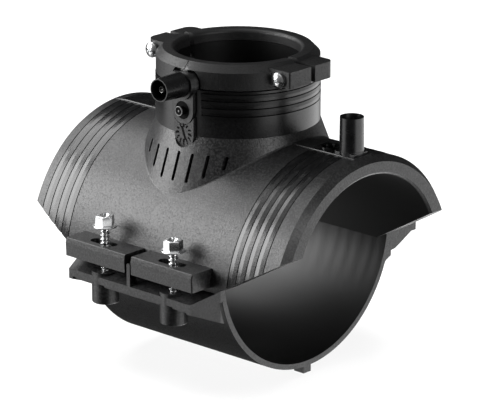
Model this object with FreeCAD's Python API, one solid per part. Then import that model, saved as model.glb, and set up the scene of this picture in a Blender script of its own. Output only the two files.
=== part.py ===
import FreeCAD, Part
import math
import os

V = FreeCAD.Vector

# ---------------------------------------------------------------- dimensions
# All in millimetres.  X runs along the run pipe, Z along the outlet, the
# origin is on the run-pipe axis under the middle of the outlet.  -Y is the
# side with the socket terminal.

# run pipe and saddle shell
R_PIPE = 62.5            # run pipe radius (outside diameter 125)
R_SHELL = 81.1           # outside of the saddle shell
Z_SHELL = -7.63          # height of the outside circle's centre
X_SHELL = 99.0           # right end of the plain outside surface, at Y = 0
X_SKEW = 0.029           # that edge runs out towards -Y
X_SHELL_L = 96.2         # left end of the plain outside surface
X_END = 104.0            # right end face
X_END_L = 101.0          # left end face
R_END = 73.2             # outside of the end faces
Z_END = -3.0             # height of that circle's centre
BORE_CH = 1.4            # chamfer of the saddle bore at both ends
X_CUT = 56.8             # where the slanted lower cut starts
CUT_SLOPE = 0.57         # rise of the slanted cut per mm
CROWN_HW = 8.0           # half width of the raised flat strip on the crown
CROWN_Z = 74.0

# circumferential ribs at both ends
RIB_X = [65.2, 71.48, 77.76, 84.04, 90.3]
RIB_DEEP = 0.75
RIB_HIGH = 0.2
RIB_HALF = 0.36          # half width of a groove

# outlet socket
R_BODY = 49.4
Z_BODY = 78.9            # lower edge of the cylindrical part
Z_BODY_TOP = 107.2
SKIRT_T = 0.367          # flare of the skirt
R_BORE = 37.8            # socket bore for a pipe of 75 outside diameter
Z_STOP = 70.0            # stop shoulder
R_CHANNEL = 31.0
R_NECK = 43.0
R_COLLAR = 45.5
Z_COLLAR = 112.2
Z_NECK_TOP = 115.5
RING_Z = [92.2, 96.7, 101.2, 105.5]

# terminal column on the -Y side
XC = 2.4
Z_TERM = 109.6
Y_TIP = -70.4
R_TERM = 6.85
Z_IND = 93.6
Z_DIAL = 79.0
Y_PAD = -50.6
Y_DIAL = -50.2           # face of the dial, let into the skirt below

# slots in the skirt
SLOT_X0 = 2.0
SLOT_PITCH = 9.65
SLOT_W = 2.1
SLOT_LOW = [61.7, 56.2, 52.3, 52.2, 52.4, 56.1, 61.4]
SLOT_TOP = 69.1

# terminal and indicator on the crown
X_TERM2 = 90.1
Z_TIP2 = 96.3
R_TERM2 = 7.1
R_PIN = 2.0              # contact pin, bare part
R_STEM = 1.6             # contact pin, part held in the moulding
FLOOR = 4.0              # floor of a sleeve over its seat
X_IND2 = 72.8

# ears of the saddle
EAR_X = 52.0
EAR_Y = 95.4
EAR_GAP = 2.7
EAR_TOP = 13.8
EAR_BOT = 2.6
HOLE_X = 28.0
HOLE_Y = 86.6
HOLE_L = 19.8
HOLE_W = 7.2
SCREW_DX = 1.0           # the screws stand this far off the slots' middle

# lower clamp
R_LOW = 73.0
Z_LOW = 10.2
T_LOW = 3.3
X_LOW = 56.6
FL_X = 49.8
FL_Y = 94.6
FL_TOP = -5.3
FL_BOT = -11.4
FAR_Y = 99.7
BOSS_R = 8.2
BOSS_Z = -22.5
PILOT_R = 3.1
PILOT_Z = -20.0

# clamp screws
SCREW_R = 3.05
HEAD_Z = {"fl": 24.1, "fr": 21.3, "rl": 22.6, "rr": 21.9}
FLANGE_R = 7.4
HEX_AF = 10.0
SCREW_TIP = -17.5

# clamping ring on the mouth
RING_R = 49.1
RING_BOT = 107.9
RING_EDGE = 118.45
RING_TOP = 122.6
RING_FLAT_R = 45.0
MOUTH_FILLET = 2.3       # rounded edge of the mouth
RING_GAP = 1.8
LUG_XR = 59.8            # right lug
LUG_XL = 57.6            # left lug
LUG_Y1 = 20.2
LUG_Y2 = 18.9
LUG_Z0 = 110.7
LUG_Z1 = 120.7
RS_XR = 51.5             # screw through the right lug
RS_XL = 50.9             # screw through the left lug
RS_Z = 114.7
RS_R = 2.4
RS_TIP = 18.2
NUT_Y = 14.0
NUT_T = 2.7
NUT_S = 8.0

# heating wire
W_R = 0.4
W_NODE = 0.55
LEAD_R = 40.9
LEAD_Z = 104.6
OUT_R = 66.2
COIL_R = 39.25
COIL_Z0 = 77.0
COIL_PITCH = 3.0
COIL_N = 9
MAT_R = 64.0


# ------------------------------------------------------------------- helpers
def box(x0, y0, z0, x1, y1, z1):
    return Part.makeBox(x1 - x0, y1 - y0, z1 - z0, V(x0, y0, z0))


def cyl(r, p, q):
    d = q.sub(p)
    return Part.makeCylinder(r, d.Length, p, d)


def cone(r1, r2, p, q):
    d = q.sub(p)
    return Part.makeCone(r1, r2, d.Length, p, d)


def prism(points, direction):
    w = Part.makePolygon(points + [points[0]])
    return Part.Face(w).extrude(direction)


def revolve_x(profile, zc):
    """profile of (x, r) pairs turned about the X-parallel axis at height zc"""
    pts = [V(x, 0, zc + r) for x, r in profile]
    f = Part.Face(Part.makePolygon(pts + [pts[0]]))
    return f.revolve(V(0, 0, zc), V(1, 0, 0), 360)


def revolve_z(profile):
    """profile of (r, z) pairs turned about Z"""
    pts = [V(r, 0, z) for r, z in profile]
    f = Part.Face(Part.makePolygon(pts + [pts[0]]))
    return f.revolve(V(0, 0, 0), V(0, 0, 1), 360)


def rounded_slot(cx, cy, length, width, z0, z1):
    h = (length - width) / 2.0
    b = box(cx - h, cy - width / 2.0, z0, cx + h, cy + width / 2.0, z1)
    a = cyl(width / 2.0, V(cx - h, cy, z0), V(cx - h, cy, z1))
    c = cyl(width / 2.0, V(cx + h, cy, z0), V(cx + h, cy, z1))
    return b.fuse([a, c]).removeSplitter()


def mirror_y(s):
    return s.mirror(V(0, 0, 0), V(0, 1, 0))


def mirror_x(s):
    return s.mirror(V(0, 0, 0), V(1, 0, 0))


def one(s):
    """the single solid of a shape"""
    s = s.removeSplitter() if len(s.Solids) == 1 else s
    return s.Solids[0]


def fillet_edges(s, r, pick):
    es = [e for e in s.Edges if pick(e)]
    if not es:
        return s
    try:
        t = s.makeFillet(r, es)
        return t if t.isValid() else s
    except Exception:
        return s


def vertical_edge(e, x, y, tol=0.05):
    if len(e.Vertexes) != 2:
        return False
    a, b = e.Vertexes[0].Point, e.Vertexes[1].Point
    return (abs(a.x - x) < tol and abs(b.x - x) < tol and
            abs(a.y - y) < tol and abs(b.y - y) < tol)


# ------------------------------------------------------------ heating wires
def at_z(r, z, deg):
    a = math.radians(deg)
    return V(r * math.cos(a), r * math.sin(a), z)


def at_x(x, r, deg):
    """point at station x, deg degrees from +Z towards +Y"""
    a = math.radians(deg)
    return V(x, r * math.sin(a), r * math.cos(a))


def arc_z(r, z, a0, a1):
    """level arc about Z, of square section"""
    h = W_R
    pts = [V(r - h, 0, z - h), V(r + h, 0, z - h), V(r + h, 0, z + h),
           V(r - h, 0, z + h)]
    f = Part.Face(Part.makePolygon(pts + [pts[0]]))
    f.rotate(V(0, 0, 0), V(0, 0, 1), a0)
    return f.revolve(V(0, 0, 0), V(0, 0, 1), a1 - a0)


def arc_x(x, r, d0, d1):
    """arc about the run-pipe axis at station x, of square section"""
    h = W_R
    pts = [V(x - h, 0, r - h), V(x + h, 0, r - h), V(x + h, 0, r + h),
           V(x - h, 0, r + h)]
    f = Part.Face(Part.makePolygon(pts + [pts[0]]))
    f.rotate(V(0, 0, 0), V(1, 0, 0), -d0)
    return f.revolve(V(0, 0, 0), V(1, 0, 0), -(d1 - d0))


def knot(p):
    h = W_NODE
    return Part.makeBox(2 * h, 2 * h, 2 * h, V(p.x - h, p.y - h, p.z - h))


def run(points):
    out = [cyl(W_R, a, b) for a, b in zip(points[:-1], points[1:])]
    return out + [knot(p) for p in points]


def socket_wire():
    """turns round the bore, each a level arc, joined by short slanted runs"""
    parts = []
    ends = []
    for i in range(COIL_N):
        z = COIL_Z0 + i * COIL_PITCH
        parts.append(arc_z(COIL_R, z, 97.0, 443.0))
        ends.append((at_z(COIL_R, z, 97.0), at_z(COIL_R, z, 83.0)))
    for i in range(COIL_N - 1):
        parts.append(cyl(W_R, ends[i][1], ends[i + 1][0]))
    for a, b in ends:
        parts += [knot(a), knot(b)]
    return parts, ends[0][0], ends[-1][1]


def saddle_wire():
    """rectangular spiral on the saddle's inner face round the channel"""
    xs = [36.0 + 3.4 * i for i in range(6)]
    ds = [36.0 + 3.1 * i for i in range(6)]
    # corner list: it starts at the inner right corner and steps outwards
    # before each next turn
    pts = [(xs[0], -ds[0])]
    for i in range(6):
        pts += [(xs[i], ds[i]), (-xs[i], ds[i]), (-xs[i], -ds[i])]
        if i < 5:
            pts.append((xs[i + 1], -ds[i]))
    parts = []
    for (xa, da), (xb, db) in zip(pts[:-1], pts[1:]):
        if abs(xa - xb) < 1e-6:
            parts.append(arc_x(xa, MAT_R, da, db))
        else:
            parts.append(cyl(W_R, at_x(xa, MAT_R, da), at_x(xb, MAT_R, db)))
    parts += [knot(at_x(x, MAT_R, d)) for x, d in pts]
    return parts, pts[0], pts[-1]


def wires():
    """both wires, in series from the socket pin to the crown pin, and the
    crimp that joins them"""
    crimp = V(34.0, -24.0, 71.0)

    turns, first, last = socket_wire()
    # from the last turn up, clear of the turns, half way round inside the
    # wall and on to the pin
    p0 = V(last.x, last.y, last.z + 1.6)
    p1 = V(0.0, LEAD_R, LEAD_Z)
    p2 = at_z(LEAD_R, LEAD_Z, 273.4)
    lead = run([last, p0, p1]) + [arc_z(LEAD_R, LEAD_Z, 90.0, 273.4)]
    lead += run([p2, V(XC, -41.05, Z_TERM)])
    # from the first turn round to the crimp
    q0 = V(first.x, first.y + 1.6, first.z - 1.2)
    r = math.hypot(q0.x, q0.y)
    a0 = math.degrees(math.atan2(q0.y, q0.x))
    a1 = math.degrees(math.atan2(crimp.y, crimp.x)) % 360.0
    lead += run([first, q0]) + [arc_z(r, q0.z, a0, a1)]
    lead += run([at_z(r, q0.z, a1), V(crimp.x, crimp.y, crimp.z + 2.0)])
    socket = turns[0].fuse(turns[1:] + lead)

    turns, (xa, da), (xb, db) = saddle_wire()
    first, last = at_x(xa, MAT_R, da), at_x(xb, MAT_R, db)
    p0 = at_x(xb, OUT_R, db)
    lead = run([last, p0, V(X_TERM2, p0.y, p0.z)])
    lead += [arc_x(X_TERM2, OUT_R, db, 0.0), knot(V(X_TERM2, 0, OUT_R))]
    q0 = V(first.x, first.y * 1.05, first.z * 1.05)
    lead += run([first, q0, V(crimp.x, crimp.y, crimp.z - 2.0)])
    saddle = turns[0].fuse(turns[1:] + lead)

    c = cyl(1.0, V(crimp.x, crimp.y, crimp.z - 1.9),
            V(crimp.x, crimp.y, crimp.z + 1.9))
    return socket, saddle, c


# -------------------------------------------------------------- saddle body
def trapezoid(extra=0.0):
    zt = 150.0
    z_tip = CUT_SLOPE * (X_END + 1 - X_CUT)
    pts = [V(-X_CUT, -130, 0), V(-X_END - 1, -130, z_tip),
           V(-X_END - 1, -130, zt), V(X_END + 1, -130, zt),
           V(X_END + 1, -130, z_tip), V(X_CUT, -130, 0)]
    return prism(pts, V(0, 260, 0))


def shell_outside():
    """cylinder with a bevel at both ends; the right bevel starts on a plane
    turned slightly about Z"""
    s = cyl(R_SHELL, V(-X_SHELL_L, 0, Z_SHELL), V(X_END + 10, 0, Z_SHELL))
    off = prism([V(X_SHELL + 100 * X_SKEW, -100, -100),
                 V(X_SHELL - 100 * X_SKEW, 100, -100),
                 V(X_END + 30, 100, -100), V(X_END + 30, -100, -100)],
                V(0, 0, 200))
    s = s.cut(off)
    face = max((f for f in s.Faces if abs(f.CenterOfMass.x - X_SHELL) < 1.0),
               key=lambda f: f.Area)
    right = [face.OuterWire,
             Part.Wire(Part.makeCircle(R_END, V(X_END, 0, Z_END),
                                       V(1, 0, 0)))]
    left = [Part.Wire(Part.makeCircle(R_SHELL, V(-X_SHELL_L, 0, Z_SHELL),
                                      V(1, 0, 0))),
            Part.Wire(Part.makeCircle(R_END, V(-X_END_L, 0, Z_END),
                                      V(1, 0, 0)))]
    return s.fuse([Part.makeLoft(right, True, True),
                   Part.makeLoft(left, True, True)])


def rib_ring(sg):
    r = R_SHELL
    prof = [(RIB_X[0] - 1.6, r - 3.0), (RIB_X[0] - 1.6, r)]
    for i, x in enumerate(RIB_X):
        prof += [(x - RIB_HALF, r), (x, r - RIB_DEEP), (x + RIB_HALF, r)]
        if i < len(RIB_X) - 1:
            prof.append(((x + RIB_X[i + 1]) / 2.0, r + RIB_HIGH))
    prof += [(RIB_X[-1] + 1.6, r), (RIB_X[-1] + 1.6, r - 3.0)]
    prof = [(sg * x, q) for x, q in prof]
    return revolve_x(prof, Z_SHELL)


def saddle_body():
    s = shell_outside()
    keep = box(-120, -CROWN_HW, 0, 120, CROWN_HW, 120)
    for sg in (-1, 1):
        lo, hi = RIB_X[0] - 1.6, RIB_X[-1] + 1.6
        ring = revolve_x([(sg * lo, R_SHELL - 2.0), (sg * hi, R_SHELL - 2.0),
                          (sg * hi, R_SHELL + 3.0), (sg * lo, R_SHELL + 3.0)],
                         Z_SHELL)
        s = s.cut(ring.cut(keep))
        s = s.fuse(rib_ring(sg).cut(keep))
    s = s.common(trapezoid())

    # skirt of the outlet, blended into the shell
    z0 = 38.0
    skirt = Part.makeCone(R_BODY + (Z_BODY - z0) * SKIRT_T, R_BODY,
                          Z_BODY - z0, V(0, 0, z0), V(0, 0, 1))
    s = s.fuse(skirt).removeSplitter()
    s = fillet_edges(s, 1.5, lambda e: e.BoundBox.ZMin > 40 and
                     e.BoundBox.XMax < 56 and e.BoundBox.XMin > -56 and
                     e.Curve.TypeId == "Part::GeomBSplineCurve")

    # raised strip along the crown
    pts = [V(-X_SHELL_L, -CROWN_HW, 66), V(-X_SHELL_L, -CROWN_HW, 73.2),
           V(-87.0, -CROWN_HW, CROWN_Z),
           V(X_SHELL - 0.4, -CROWN_HW, CROWN_Z),
           V(X_SHELL + 0.6, -CROWN_HW, 72.6),
           V(X_SHELL + 0.6, -CROWN_HW, 66)]
    strip = prism(pts, V(0, 2 * CROWN_HW, 0))
    strip = fillet_edges(strip, 0.5, lambda e: len(e.Vertexes) == 2 and
                         min(v.Point.z for v in e.Vertexes) > 73.1 and
                         abs(e.Vertexes[0].Point.x -
                             e.Vertexes[1].Point.x) > 5.0)
    s = s.fuse(strip)

    # ears
    def ear(sx):
        y0, y1 = -EAR_Y, -72.0
        pts = [V(0, y1, EAR_BOT), V(0, y0 + 0.3, EAR_BOT),
               V(0, y0, EAR_TOP - 3.0), V(0, y0 + 0.55, EAR_TOP - 0.4),
               V(0, y0 + 1.1, EAR_TOP), V(0, y1, EAR_TOP)]
        e = prism(pts, V(EAR_X - EAR_GAP, 0, 0))
        e.translate(V(EAR_GAP, 0, 0))
        e = fillet_edges(e, 1.0, lambda k: len(k.Vertexes) == 2 and
                         abs(k.Vertexes[0].Point.x - EAR_X) < 0.05 and
                         abs(k.Vertexes[1].Point.x - EAR_X) < 0.05 and
                         min(k.Vertexes[0].Point.y, k.Vertexes[1].Point.y)
                         < y0 + 2 and
                         max(k.Vertexes[0].Point.y, k.Vertexes[1].Point.y)
                         < y0 + 2)
        e = e.cut(rounded_slot(HOLE_X, -HOLE_Y, HOLE_L, HOLE_W, 0, 20))
        return e if sx > 0 else mirror_x(e)

    for sx in (-1, 1):
        e = ear(sx)
        s = s.fuse([e, mirror_y(e)])

    # outlet: cylinder, neck and collar
    body = cyl(R_BODY, V(0, 0, z0), V(0, 0, Z_BODY_TOP))

    # bands round the cylinder, from the terminal column by +X to the rear
    col = box(-60, -60, 80, XC + 12.0, 0, 120)
    ring = revolve_z([(R_BODY - 1.2, RING_Z[0] - 1.0), (60, RING_Z[0] - 1.0),
                      (60, 110), (R_BODY - 1.2, 110)])
    body = body.cut(ring.cut(col))
    prof = [(R_BODY - 2.4, RING_Z[0] - 1.0), (R_BODY, RING_Z[0] - 1.0)]
    for i, z in enumerate(RING_Z):
        prof += [(R_BODY, z - 0.36), (R_BODY - 0.75, z), (R_BODY, z + 0.36)]
        if i < len(RING_Z) - 1:
            prof.append((R_BODY + 0.15, (z + RING_Z[i + 1]) / 2.0))
    prof += [(R_BODY, Z_BODY_TOP), (R_BODY - 2.4, Z_BODY_TOP)]
    body = body.fuse(revolve_z(prof).cut(col))

    neck = revolve_z([(30, 100), (R_NECK, 100), (R_NECK, Z_COLLAR),
                      (R_COLLAR, Z_COLLAR), (R_COLLAR, Z_NECK_TOP),
                      (30, Z_NECK_TOP)])
    # both halves of the neck can be drawn together by the ring
    for sx in (-1, 1):
        neck = neck.cut(box(min(sx * 30, sx * 60), -RING_GAP, Z_BODY_TOP,
                            max(sx * 30, sx * 60), RING_GAP, 130))
    s = s.fuse([body, neck])

    # terminal column: pad, dial plate, terminal boss
    tongue = box(XC - 8.4, Y_PAD, Z_IND, XC + 8.4, -42, 106.9).fuse(
        cyl(8.4, V(XC, Y_PAD, Z_IND), V(XC, -42, Z_IND)))
    boss = cone(10.8, 9.2, V(XC, -44, Z_TERM), V(XC, -52.6, Z_TERM))
    boss = boss.cut(box(-30, -60, 90, 30, 0, 101.0))
    boss = boss.cut(box(-30, -60, 116.7, 30, 0, 130.0))
    n = V(0, -1, 0)
    c = V(XC + 0.7, Y_DIAL, Z_DIAL)
    s = s.cut(Part.makeCylinder(7.7, 12.0, c, n))
    dial = Part.makeCylinder(7.7, 6.0, c.sub(n * 6.0), n)
    back = box(XC - 7.0, Y_DIAL, Z_DIAL, XC + 8.4, -44, 90)
    s = s.fuse([boss, dial, back])
    # groove under the rounded foot of the pad
    groove = cyl(9.1, V(XC, -60, Z_IND), V(XC, -49.5, Z_IND))
    groove = groove.common(box(-30, -70, 60, 30, 0, Z_IND - 3.0))
    s = s.cut(groove).fuse(tongue)

    # clock-like dial relief: ring of radial ticks and a pointer
    u = V(0, 0, 1)
    for k in range(12):
        a = math.radians(30 * k)
        d = V(1, 0, 0) * math.sin(a) + u * math.cos(a)
        e = V(1, 0, 0) * math.cos(a) - u * math.sin(a)
        w, lo, hi = (0.5, 4.6, 6.7) if k % 3 == 0 else (0.42, 5.3, 6.6)
        tick = prism([c + d * lo - e * w - n * 0.5, c + d * lo + e * w - n * 0.5,
                      c + d * hi + e * w - n * 0.5,
                      c + d * hi - e * w - n * 0.5], n * 1.2)
        s = s.cut(tick)
    arrow = Part.makeBox(0.9, 6.0, 1.0, V(-0.45, -2.6, -0.5))
    arrow.Placement = FreeCAD.Placement(
        c, FreeCAD.Rotation(V(math.cos(0.35), 0, 0) + u * math.sin(0.35),
                            V(-math.sin(0.35), 0, 0) + u * math.cos(0.35),
                            n, "ZXY"))
    s = s.cut(arrow)

    # crown terminal seat and indicator seat
    seat = box(82.6, -6.2, 70, 97.0, 6.2, 75.4)
    seat = seat.fuse([cyl(7.35, V(X_TERM2, 0, 70), V(X_TERM2, 0, 76.4)),
                      cone(5.6, 5.2, V(X_IND2, 0, 70), V(X_IND2, 0, 75.0))])
    s = s.fuse(seat)

    # slots in the skirt, both sides
    for k in range(7):
        x = SLOT_X0 + SLOT_PITCH * (k - 3)
        r_mid = R_BODY + (Z_BODY - (SLOT_TOP + SLOT_LOW[k]) / 2.0) * SKIRT_T
        y_out = math.sqrt(r_mid ** 2 - x ** 2)
        h = SLOT_W / 2.0
        lo, hi = SLOT_LOW[k] + h, SLOT_TOP - h
        c1 = box(x - h, -80, lo, x + h, -(y_out - 9.0), hi)
        c2 = cyl(h, V(x, -80, lo), V(x, -(y_out - 9.0), lo))
        c3 = cyl(h, V(x, -80, hi), V(x, -(y_out - 9.0), hi))
        cut = c1.fuse([c2, c3])
        s = s.cut(cut)
        s = s.cut(mirror_y(cut))

    # bores
    s = s.cut(cyl(R_PIPE, V(-130, 0, 0), V(130, 0, 0)))
    for x, d in ((X_END, -1), (-X_END_L, 1)):
        s = s.cut(cone(R_PIPE + BORE_CH + 1.0, R_PIPE - 1.0, V(x - d, 0, 0),
                       V(x + d * (BORE_CH + 1.0), 0, 0)))
    s = s.cut([cyl(R_CHANNEL, V(0, 0, 30), V(0, 0, 130)),
               cyl(R_BORE, V(0, 0, Z_STOP), V(0, 0, 130))])

    # socket terminal: seat of the shroud, way of the pin; indicator
    s = s.cut([cyl(4.6, V(XC, -60, Z_TERM), V(XC, -45.0, Z_TERM)),
               cyl(R_STEM + 0.05, V(XC, -46, Z_TERM),
                   V(XC, -41.5, Z_TERM))])
    rec = cone(5.5, 4.6, V(XC, Y_PAD - 0.01, Z_IND), V(XC, -47.4, Z_IND))
    rec = rec.cut(cyl(2.4, V(XC, -60, Z_IND), V(XC, -40, Z_IND)))
    s = s.cut(rec)
    tube = cyl(2.4, V(XC, -53.6, Z_IND), V(XC, -46.0, Z_IND))
    s = s.fuse(tube)
    s = s.cut(cyl(1.25, V(XC, -60, Z_IND), V(XC, -43.0, Z_IND)))

    # crown terminal: seat of the shroud, way of the pin; indicator
    s = s.cut([cyl(4.6, V(X_TERM2, 0, 80), V(X_TERM2, 0, 69.0)),
               cyl(R_STEM + 0.05, V(X_TERM2, 0, 70),
                   V(X_TERM2, 0, 66.0))])
    rec = cone(4.4, 3.8, V(X_IND2, 0, 75.01), V(X_IND2, 0, 70.8))
    rec = rec.cut(cyl(2.15, V(X_IND2, 0, 60), V(X_IND2, 0, 80)))
    s = s.cut(rec)
    s = s.fuse(cyl(2.15, V(X_IND2, 0, 70), V(X_IND2, 0, 76.2)))
    s = s.cut(cyl(1.25, V(X_IND2, 0, 68.0), V(X_IND2, 0, 80)))
    return s


# -------------------------------------------------------------- lower clamp
def lower_clamp():
    ro = R_LOW + T_LOW
    out = cyl(ro, V(-X_LOW, 0, Z_LOW), V(X_LOW, 0, Z_LOW))
    half = box(-200, -200, -200, 200, 200, 0.0)
    s = out.common(half)
    adds = []
    # near side: sloping flange narrowing outwards, end plates, bosses
    prof = [V(0, -70, 0.0), V(0, -76.0, 0.0), V(0, -FL_Y, FL_TOP),
            V(0, -FL_Y, FL_TOP - 4.4), V(0, -FL_Y + 1.6, FL_TOP - 4.4),
            V(0, -FL_Y + 1.6, FL_BOT), V(0, -FL_Y + 4.4, FL_BOT),
            V(0, -FL_Y + 4.4, FL_TOP - 3.0), V(0, -70, -6.2)]
    fl = prism(prof, V(2 * X_LOW, 0, 0))
    fl.translate(V(-X_LOW, 0, 0))
    plan = prism([V(-X_LOW, -60, -60), V(-X_LOW, -76.0, -60),
                  V(-FL_X, -FL_Y, -60), V(FL_X, -FL_Y, -60),
                  V(X_LOW, -76.0, -60), V(X_LOW, -60, -60)], V(0, 0, 90))
    adds.append(fl.common(plan))
    slot = cyl(ro + 2.7, V(-90, 0, Z_LOW), V(90, 0, Z_LOW)).cut(
        cyl(ro, V(-90, 0, Z_LOW), V(90, 0, Z_LOW)))
    slot = slot.common(box(-90, -100, -60, 90, 100, -4.4))
    for sg in (-1, 1):
        # plate standing along the tapered end: built as the slice of a block
        blk = prism([V(0, -69.0, 0.0), V(0, -76.0, 0.0),
                     V(0, -FL_Y, FL_TOP), V(0, -FL_Y, FL_BOT),
                     V(0, -73.6, -20.2), V(0, -69.0, -20.2)],
                    V(2 * X_LOW, 0, 0))
        blk.translate(V(-X_LOW, 0, 0))
        t = 3.0
        strip = prism([V(sg * X_LOW, -60, -60), V(sg * X_LOW, -76.0, -60),
                       V(sg * FL_X, -FL_Y, -60),
                       V(sg * (FL_X - t), -FL_Y, -60),
                       V(sg * (X_LOW - t), -76.0, -60),
                       V(sg * (X_LOW - t), -60, -60)], V(0, 0, 90))
        adds.append(blk.common(strip).cut(slot))
    for sg in (-1, 1):
        x = sg * HOLE_X + SCREW_DX
        b = cyl(BOSS_R, V(x, -HOLE_Y, BOSS_Z), V(x, -HOLE_Y, -3.0))
        b = fillet_edges(b, 0.8, lambda e: e.BoundBox.ZMax < BOSS_Z + 0.1)
        adds.append(b)
    # near locating tab
    pts = [V(1.1, -FL_Y, 7.6), V(1.1, -FL_Y, -8.0), V(-1.5, -FL_Y, -8.0),
           V(-1.5, -FL_Y, 7.6)]
    top = Part.Arc(V(-1.5, -FL_Y, 7.6), V(-0.2, -FL_Y, 8.9),
                   V(1.1, -FL_Y, 7.6)).toShape()
    w = Part.Wire([Part.makePolygon(pts), top])
    adds.append(Part.Face(w).extrude(V(0, 5.0, 0)))

    # rear side: level flange, end plates, bosses, tab
    prof = [V(0, 70, 0.0), V(0, 81.6, 0.0), V(0, 82.6, 2.0),
            V(0, FAR_Y, 2.0), V(0, FAR_Y, -3.8), V(0, 70, -3.8)]
    fl = prism(prof, V(2 * X_LOW, 0, 0))
    fl.translate(V(-X_LOW, 0, 0))
    adds.append(fl)
    for sg in (-1, 1):
        prof = [V(0, 69, -1.0), V(0, 95.0, -1.0), V(0, 95.0, -4.0),
                V(0, 84.8, -9.2), V(0, 80.0, -11.3), V(0, 76.4, -11.7),
                V(0, 76.4, -14.9), V(0, 71.8, -17.0), V(0, 69.0, -20.2)]
        p = prism(prof, V(3.0, 0, 0))
        p.translate(V(X_LOW - 3.0 if sg > 0 else -X_LOW, 0, 0))
        adds.append(p)
        x = sg * HOLE_X + SCREW_DX
        b = cyl(BOSS_R, V(x, HOLE_Y, BOSS_Z), V(x, HOLE_Y, -2.0))
        b = fillet_edges(b, 0.8, lambda e: e.BoundBox.ZMax < BOSS_Z + 0.1)
        adds.append(b)
    adds.append(box(-1.3, FL_Y - 5.0, -3.0, 1.3, FL_Y, 8.6))

    # feet under the shell
    for sg in (-1, 1):
        adds.append(box(min(sg * 48.8, sg * X_LOW), -3.2, -70.3,
                        max(sg * 48.8, sg * X_LOW), 3.2, -60.0))
    s = s.fuse(adds)

    s = s.cut(cyl(R_LOW, V(-120, 0, Z_LOW), V(120, 0, Z_LOW)))
    for sx in (-1, 1):
        for sy in (-1, 1):
            x = sx * HOLE_X + SCREW_DX
            s = s.cut(cyl(PILOT_R, V(x, sy * HOLE_Y, PILOT_Z),
                          V(x, sy * HOLE_Y, 20)))
    return s


# ------------------------------------------------------------ clamping ring
def ring_halves():
    s = revolve_z([(20, RING_BOT), (RING_R, RING_BOT), (RING_R, RING_EDGE),
                   (RING_FLAT_R, RING_TOP), (20, RING_TOP)])
    lugs = []
    for sx in (-1, 1):
        lx = LUG_XR if sx > 0 else LUG_XL
        a = box(40, -LUG_Y1, LUG_Z0, lx, 0, LUG_Z1)
        a = fillet_edges(a, 1.2 if sx > 0 else 8.0,
                         lambda e: vertical_edge(e, lx, -LUG_Y1))
        b = box(40, 0, LUG_Z0, lx, LUG_Y2, LUG_Z1)
        b = fillet_edges(b, 5.5, lambda e: vertical_edge(e, lx, LUG_Y2))
        for q in (a, b):
            lugs.append(q if sx > 0 else mirror_x(q))
    s = s.fuse(lugs)
    inner = revolve_z([(0, 100), (R_NECK + 0.3, 100), (R_NECK + 0.3, 111.9),
                       (R_COLLAR + 0.4, 111.9), (R_COLLAR + 0.4, 115.8),
                       (R_BORE, 115.8), (R_BORE, 130), (0, 130)])
    s = s.cut(inner)
    s = fillet_edges(s, MOUTH_FILLET, lambda e: e.BoundBox.ZMin > 122.5 and
                     e.BoundBox.XMax < R_BORE + 0.5 and
                     e.BoundBox.XMin > -R_BORE - 0.5)
    # opening for the terminal boss
    notch = cyl(11.3, V(XC, -60, Z_TERM), V(XC, -40, Z_TERM)).fuse(
        box(XC - 11.3, -60, 100, XC + 11.3, -40, Z_TERM))
    notch = notch.cut(box(-30, -70, 118.2, 30, -30, 130))
    notch = notch.cut(box(XC - 2.6, -70, 117.0, XC + 2.5, -30, 130))
    s = s.cut(notch)
    # radial mark on the bevel over the terminal
    mark = box(XC - 0.3, -50.5, 118.0, XC + 0.3, -44.6, 124.0)
    bevel = revolve_z([(RING_FLAT_R, RING_TOP - 0.35), (60, 107.1),
                       (60, 130), (RING_FLAT_R, 130)])
    s = s.cut(mark.common(bevel))
    for x in (RS_XR, -RS_XL):
        s = s.cut([cyl(2.65, V(x, -40, RS_Z), V(x, 0, RS_Z)),
                   cyl(2.45, V(x, 0, RS_Z), V(x, 40, RS_Z)),
                   box(x - 4.1, NUT_Y, RS_Z - 4.1, x + 4.1, 40,
                       RS_Z + 4.1)])
    front = s.common(box(-90, -90, 90, 90, -RING_GAP, 140))
    rear = s.common(box(-90, RING_GAP, 90, 90, 90, 140))
    return front, rear


# ------------------------------------------------------------------ fasteners
def clamp_screw(x, y, zh):
    """flange-head screw, underside of the flange at zh"""
    fl = Part.makeCone(FLANGE_R, FLANGE_R - 0.35, 0.9, V(x, y, zh),
                       V(0, 0, 1))
    fl2 = Part.makeCone(FLANGE_R - 0.35, HEX_AF / 2.0 + 0.3, 0.9,
                        V(x, y, zh + 0.9), V(0, 0, 1))
    rr = HEX_AF / math.sqrt(3)
    pts = [V(x + rr * math.cos(math.radians(60 * k + 12)),
             y + rr * math.sin(math.radians(60 * k + 12)), zh + 0.9)
           for k in range(6)]
    hx = prism(pts, V(0, 0, 6.1))
    top = Part.makeCone(rr + 2.3, rr - 0.7, 3.0, V(x, y, zh + 4.2),
                        V(0, 0, 1))
    top = top.fuse(cyl(rr + 2.3, V(x, y, zh - 1), V(x, y, zh + 4.2)))
    hx = hx.common(top)
    sl = Part.makeBox(14.0, 1.5, 2.0, V(-7.0, -0.75, zh + 5.6))
    sl.rotate(V(0, 0, 0), V(0, 0, 1), -47.0)
    sl.translate(V(x, y, 0))
    hx = hx.cut(sl)
    sh = cyl(SCREW_R, V(x, y, SCREW_TIP + 2.6), V(x, y, zh + 0.5))
    tip = Part.makeCone(1.5, SCREW_R, 2.6, V(x, y, SCREW_TIP), V(0, 0, 1))
    return fl.fuse([fl2, hx, sh, tip])


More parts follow.
